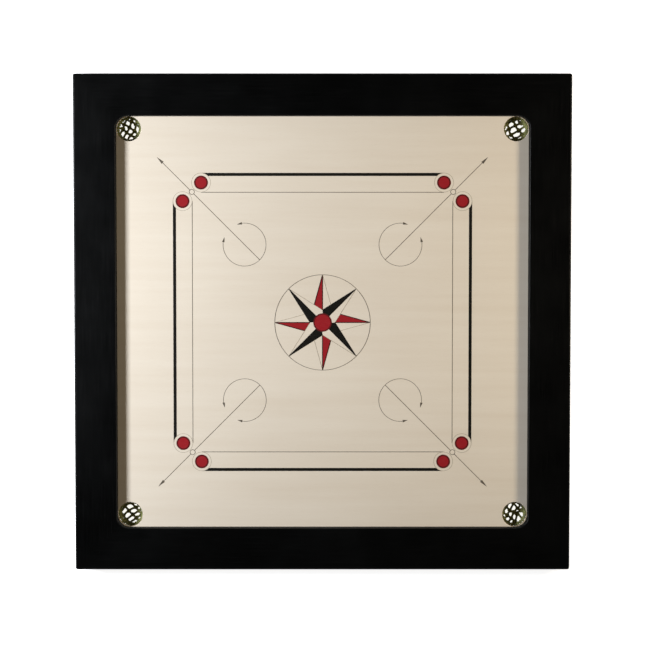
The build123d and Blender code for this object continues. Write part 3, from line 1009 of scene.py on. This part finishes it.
# %% Cord material
def cord_material():
    """Dark olive green, with fibres that slant along the strands."""
    yarn = Finish("green_net_cord")
    run = yarn.add("ShaderNodeUVMap", {"uv_map": "run"}).outputs["UV"]
    slanted = {"bands_direction": "DIAGONAL"}
    fibres = yarn.add("ShaderNodeTexWave", slanted, Vector=run, Scale=9.0, Distortion=1.5).outputs["Fac"]
    fade = yarn.noise(yarn.place, 120.0, detail=3.0)
    fuzz = yarn.noise(yarn.place, 2600.0, detail=2.0)
    colour = yarn.mixed(yarn.between(fade, 0.35, 0.65), (0.140, 0.150, 0.034, 1), (0.36, 0.37, 0.105, 1))
    colour = yarn.mixed(yarn.between(fibres, 0.2, 0.9, 0.0, 0.5), colour, (0.040, 0.046, 0.016, 1))
    yarn.relief(yarn.calc("ADD", fibres, yarn.calc("MULTIPLY", fuzz, 0.7)), 0.12, 0.8)
    yarn.set(Base_Color=colour, Roughness=yarn.between(fuzz, 0.3, 0.7, 0.62, 0.80), Sheen_Weight=0.2)
    return yarn.material


net_cord = cord_material()
print("cord recipe of", len(net_cord.node_tree.nodes), "nodes")

# %% [markdown]
# The knots go where the cords meet. A cord is the line of points whose distance across its
# heading is its offset, so two cords cross where both distances are right, which is a pair of
# linear equations. The cords also meet the head rope, at both of their ends.

# %% Where the knots go
KNOT_MARGIN = 2.0


def tied(offsets, headings, draws):
    """Where every cord of one family crosses every cord of the other, and all of them the rope."""
    across = np.stack([heading_axes(heading)[1] for heading in headings])
    pairs = np.stack(np.meshgrid(*offsets, indexing="ij"), axis=-1).reshape(-1, 2)
    crossings = pairs @ np.linalg.inv(across).T
    crossings = drifted(crossings[np.linalg.norm(crossings, axis=1) < ROPE_REACH - KNOT_MARGIN], draws)
    ends = []
    for family, heading in zip(offsets, headings):
        along, sideways = heading_axes(heading)
        half = np.sqrt(ROPE_REACH**2 - family**2)[:, None] * along
        ends += [family[:, None] * sideways - half, family[:, None] * sideways + half]
    return crossings, np.concatenate(ends)


print("knots stay", KNOT_MARGIN, "mm inside the rope, or sit on it")

# %% [markdown]
# One net is all its cords, rope, lacings and knots in one mesh. The two families of cords
# lean and are spaced differently in each pocket, because a hung net is stretched more one way
# than the other. The drift, the turns and the sizes of the knots come from a seeded generator,
# so the four nets differ but are the same on every run.

# %% Tie the nets
dice = np.random.default_rng(41)
# For each pocket: the heading of its cords, the lean between the families and their two spacings.
LAYS = {
    "se": (58, 82, 9.6, 12.4),
    "ne": (30, 96, 10.0, 12.2),
    "nw": (64, 84, 9.8, 11.8),
    "sw": (34, 98, 9.4, 12.8),
}
CORDS_EACH_SIDE = 4
CORD_MARGIN = 2.5
INNER_KNOTS, EDGE_KNOTS = (0.95, 1.15), (0.80, 0.95)
KNOT_TWISTS = 4


def net_tubes(corner):
    """Every tube of one net with its own coordinates, and the number of knots among them."""
    degrees, lean, narrow, wide = LAYS[corner]
    headings = (math.radians(degrees), math.radians(degrees + lean))
    draws = dice.uniform(0, TURN, (4, 3))
    shifts = dice.uniform(-0.5, 0.5, 2)
    counts = np.arange(-CORDS_EACH_SIDE, CORDS_EACH_SIDE + 1)
    offsets = [(counts + shift) * gap for shift, gap in zip(shifts, (narrow, wide))]
    offsets = [family[np.abs(family) < ROPE_REACH - CORD_MARGIN] for family in offsets]
    lays = [(offset, heading) for family, heading in zip(offsets, headings) for offset in family]
    grids = [twisted_tube(cord_line(offset, heading, draws), CORD_RADIUS) for offset, heading in lays]
    grids.append(twisted_tube(rope_line(draws), ROPE_RADIUS))
    grids += [twisted_tube(lacing_line(hand), LACING_CORD) for hand in (1, -1)]
    inner, edge = (bowl(flat) for flat in tied(offsets, headings, draws))
    places = np.concatenate([inner, edge])
    sizes = [dice.uniform(*INNER_KNOTS, len(inner)), dice.uniform(*EDGE_KNOTS, len(edge))]
    knots = knots_at(places, dice.uniform(0, TURN, len(places)), np.concatenate(sizes))
    along, around = (np.linspace(0, end, n) for end, n in zip((KNOT_TWISTS, 1), knots.shape[1:3]))
    run = np.stack(np.meshgrid(around, along), axis=-1)
    grids += [(knot, run) for knot in knots]
    return grids, len(places)


def tie_net(corner):
    """All cords, the head rope, the lacings and the knots of one pocket's net, in one mesh."""
    grids, knot_count = net_tubes(corner)
    starts = np.cumsum([0] + [points.shape[0] * points.shape[1] for points, uv in grids])
    faces = [grid_faces(*points.shape[:2], first, wrap=True) for (points, uv), first in zip(grids, starts)]
    points = np.concatenate([points.reshape(-1, 3) for points, uv in grids])
    uv = np.concatenate([uv.reshape(-1, 2) for points, uv in grids])
    centre = np.append(ring_facts(corner)[0], 0)
    net = new_piece(f"net_{corner}", points + centre, np.concatenate(faces), net_cord, uv)
    weld(net.data)
    net.data.shade_smooth()
    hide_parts(f"pocket_net_{corner}")
    print(net.name, knot_count, "knots,", len(net.data.polygons), "faces")


for corner in CORNERS:
    tie_net(corner)

# %% [markdown]
# ## Finish
# The box round the dressed board should be the packed board's own box.
